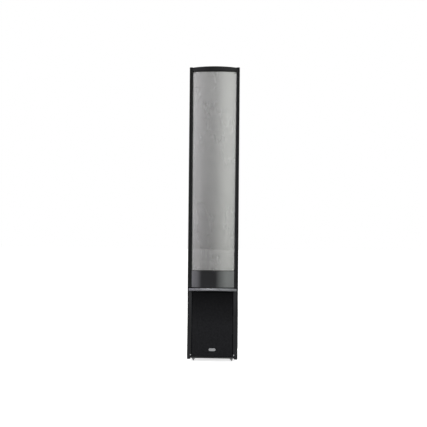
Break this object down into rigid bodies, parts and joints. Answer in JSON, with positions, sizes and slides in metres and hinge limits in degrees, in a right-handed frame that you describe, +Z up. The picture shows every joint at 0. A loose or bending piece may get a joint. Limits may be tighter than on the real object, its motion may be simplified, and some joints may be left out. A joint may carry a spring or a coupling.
{
  "type": "floorstanding hybrid electrostatic loudspeaker",
  "caption": "Tall, narrow floorstanding loudspeaker with a curved see-through panel in a dark frame above a cloth-fronted bass cabinet on levelling spikes.",
  "frame": {"origin": "on the floor, under the centre of the bounding box", "axes": "+Z up, -Y towards the listener (the front), +X to the right as seen from the front"},
  "size_m": [0.2286, 0.413, 1.34],
  "materials": {
    "rail_black": "satin",
    "cap_black": "satin",
    "structure_black": "matte",
    "stator_coat": "satin",
    "film_clear": "gloss",
    "spacer_clear": "satin",
    "foam_black": "matte",
    "fascia_gloss": "gloss",
    "ledge_silver": "satin",
    "cabinet_black": "satin",
    "board_raw": "matte",
    "wadding_white": "matte",
    "cloth_black": "matte",
    "badge_silver": "satin",
    "steel_bright": "polished",
    "steel_dark": "satin",
    "basket_black": "matte",
    "ferrite": "matte",
    "motor_steel": "satin",
    "cone_paper": "matte",
    "cone_rubber": "satin",
    "spider_cloth": "matte",
    "former_amber": "satin",
    "copper_wire": "satin",
    "seal_rubber": "matte",
    "board_green": "satin",
    "brass_nickel": "satin",
    "cap_film_blue": "satin",
    "core_steel": "satin",
    "winding_tape": "satin",
    "lead_black": "satin",
    "cup_black": "satin",
    "post_gold": "polished",
    "nut_black": "gloss",
    "nut_red": "gloss",
    "light_blue": "gloss"
  },
  "bodies": {
    "cabinet": {"rail_left": "rail_black", "rail_right": "rail_black", "rail_screws": "steel_bright", "top_cap": "cap_black", "cross_member": "structure_black", "locating_pins": "steel_dark", "lower_fascia": "fascia_gloss", "ledge_trim": "ledge_silver", "stator_front": "stator_coat", "stator_rear": "stator_coat", "diaphragm": "film_clear", "panel_spacers": "spacer_clear", "edge_gaskets": "foam_black", "panel_leads": "lead_black", "cabinet_shell": "cabinet_black", "front_baffle": "cabinet_black", "base_panel": "cabinet_black", "window_brace": "board_raw", "damping_wadding": "wadding_white", "port_tube": "cup_black", "woofer_basket": "basket_black", "woofer_top_plate": "motor_steel", "woofer_magnet": "ferrite", "woofer_yoke": "motor_steel", "woofer_seal": "seal_rubber", "woofer_screws": "steel_dark", "grille_cups": "seal_rubber", "lock_nuts": "steel_dark", "threaded_inserts": "brass_nickel", "crossover_board": "board_green", "board_standoffs": "brass_nickel", "inductor": "copper_wire", "capacitors": "cap_film_blue", "transformer_core": "core_steel", "transformer_bobbin": "winding_tape", "bias_board": "board_green", "internal_wiring": "lead_black", "terminal_cup": "cup_black", "terminal_screws": "steel_dark", "binding_posts": "post_gold", "power_jack": "cup_black", "status_light": "light_blue"},
    "cone": {"woofer_cone": "cone_paper", "woofer_dust_cap": "cone_paper", "voice_coil_former": "former_amber", "voice_coil": "copper_wire", "woofer_surround": "cone_rubber", "woofer_spider": "spider_cloth"},
    "grille": {"grille_frame": "cabinet_black", "grille_cloth": "cloth_black", "grille_pegs": "cup_black", "badge": "badge_silver"},
    "foot_front_left": {"spike_front_left": "steel_bright"},
    "foot_front_right": {"spike_front_right": "steel_bright"},
    "foot_rear_left": {"spike_rear_left": "steel_bright"},
    "foot_rear_right": {"spike_rear_right": "steel_bright"},
    "washer_black": {"post_washer_black": "post_gold"},
    "nut_black": {"post_nut_black": "nut_black"},
    "washer_red": {"post_washer_red": "post_gold"},
    "nut_red": {"post_nut_red": "nut_red"}
  },
  "joints": [
    {"name": "cone_travel", "type": "slide", "parent": "cabinet", "child": "cone", "axis": [0, -1, 0], "range_m": [-0.005, 0.005], "stiffness_N_per_m": 1400, "deforming": ["woofer_surround", "woofer_spider"]},
    {"name": "grille_pull", "type": "slide", "parent": "cabinet", "child": "grille", "axis": [0, -1, 0], "range_m": [0, 0.04]},
    {"name": "level_front_left", "type": "slide", "parent": "cabinet", "child": "foot_front_left", "axis": [0, 0, -1], "range_m": [0, 0.008]},
    {"name": "level_front_right", "type": "slide", "parent": "cabinet", "child": "foot_front_right", "axis": [0, 0, -1], "range_m": [0, 0.008]},
    {"name": "level_rear_left", "type": "slide", "parent": "cabinet", "child": "foot_rear_left", "axis": [0, 0, -1], "range_m": [0, 0.008]},
    {"name": "level_rear_right", "type": "slide", "parent": "cabinet", "child": "foot_rear_right", "axis": [0, 0, -1], "range_m": [0, 0.008]},
    {"name": "post_slide_black", "type": "slide", "parent": "cabinet", "child": "washer_black", "axis": [0, 1, 0], "range_m": [0, 0.004]},
    {"name": "post_turn_black", "type": "hinge", "parent": "washer_black", "child": "nut_black", "pos_m": [-0.027, 0.185, 0.068], "axis": [0, 1, 0], "range_deg": [0, 1080]},
    {"name": "post_slide_red", "type": "slide", "parent": "cabinet", "child": "washer_red", "axis": [0, 1, 0], "range_m": [0, 0.004]},
    {"name": "post_turn_red", "type": "hinge", "parent": "washer_red", "child": "nut_red", "pos_m": [-0.002, 0.185, 0.068], "axis": [0, 1, 0], "range_deg": [0, 1080]}
  ],
  "couplings": [
    {"joint": "post_slide_black", "follows": "post_turn_black", "m_per_rad": 0.00019894},
    {"joint": "post_slide_red", "follows": "post_turn_red", "m_per_rad": 0.00019894}
  ]
}
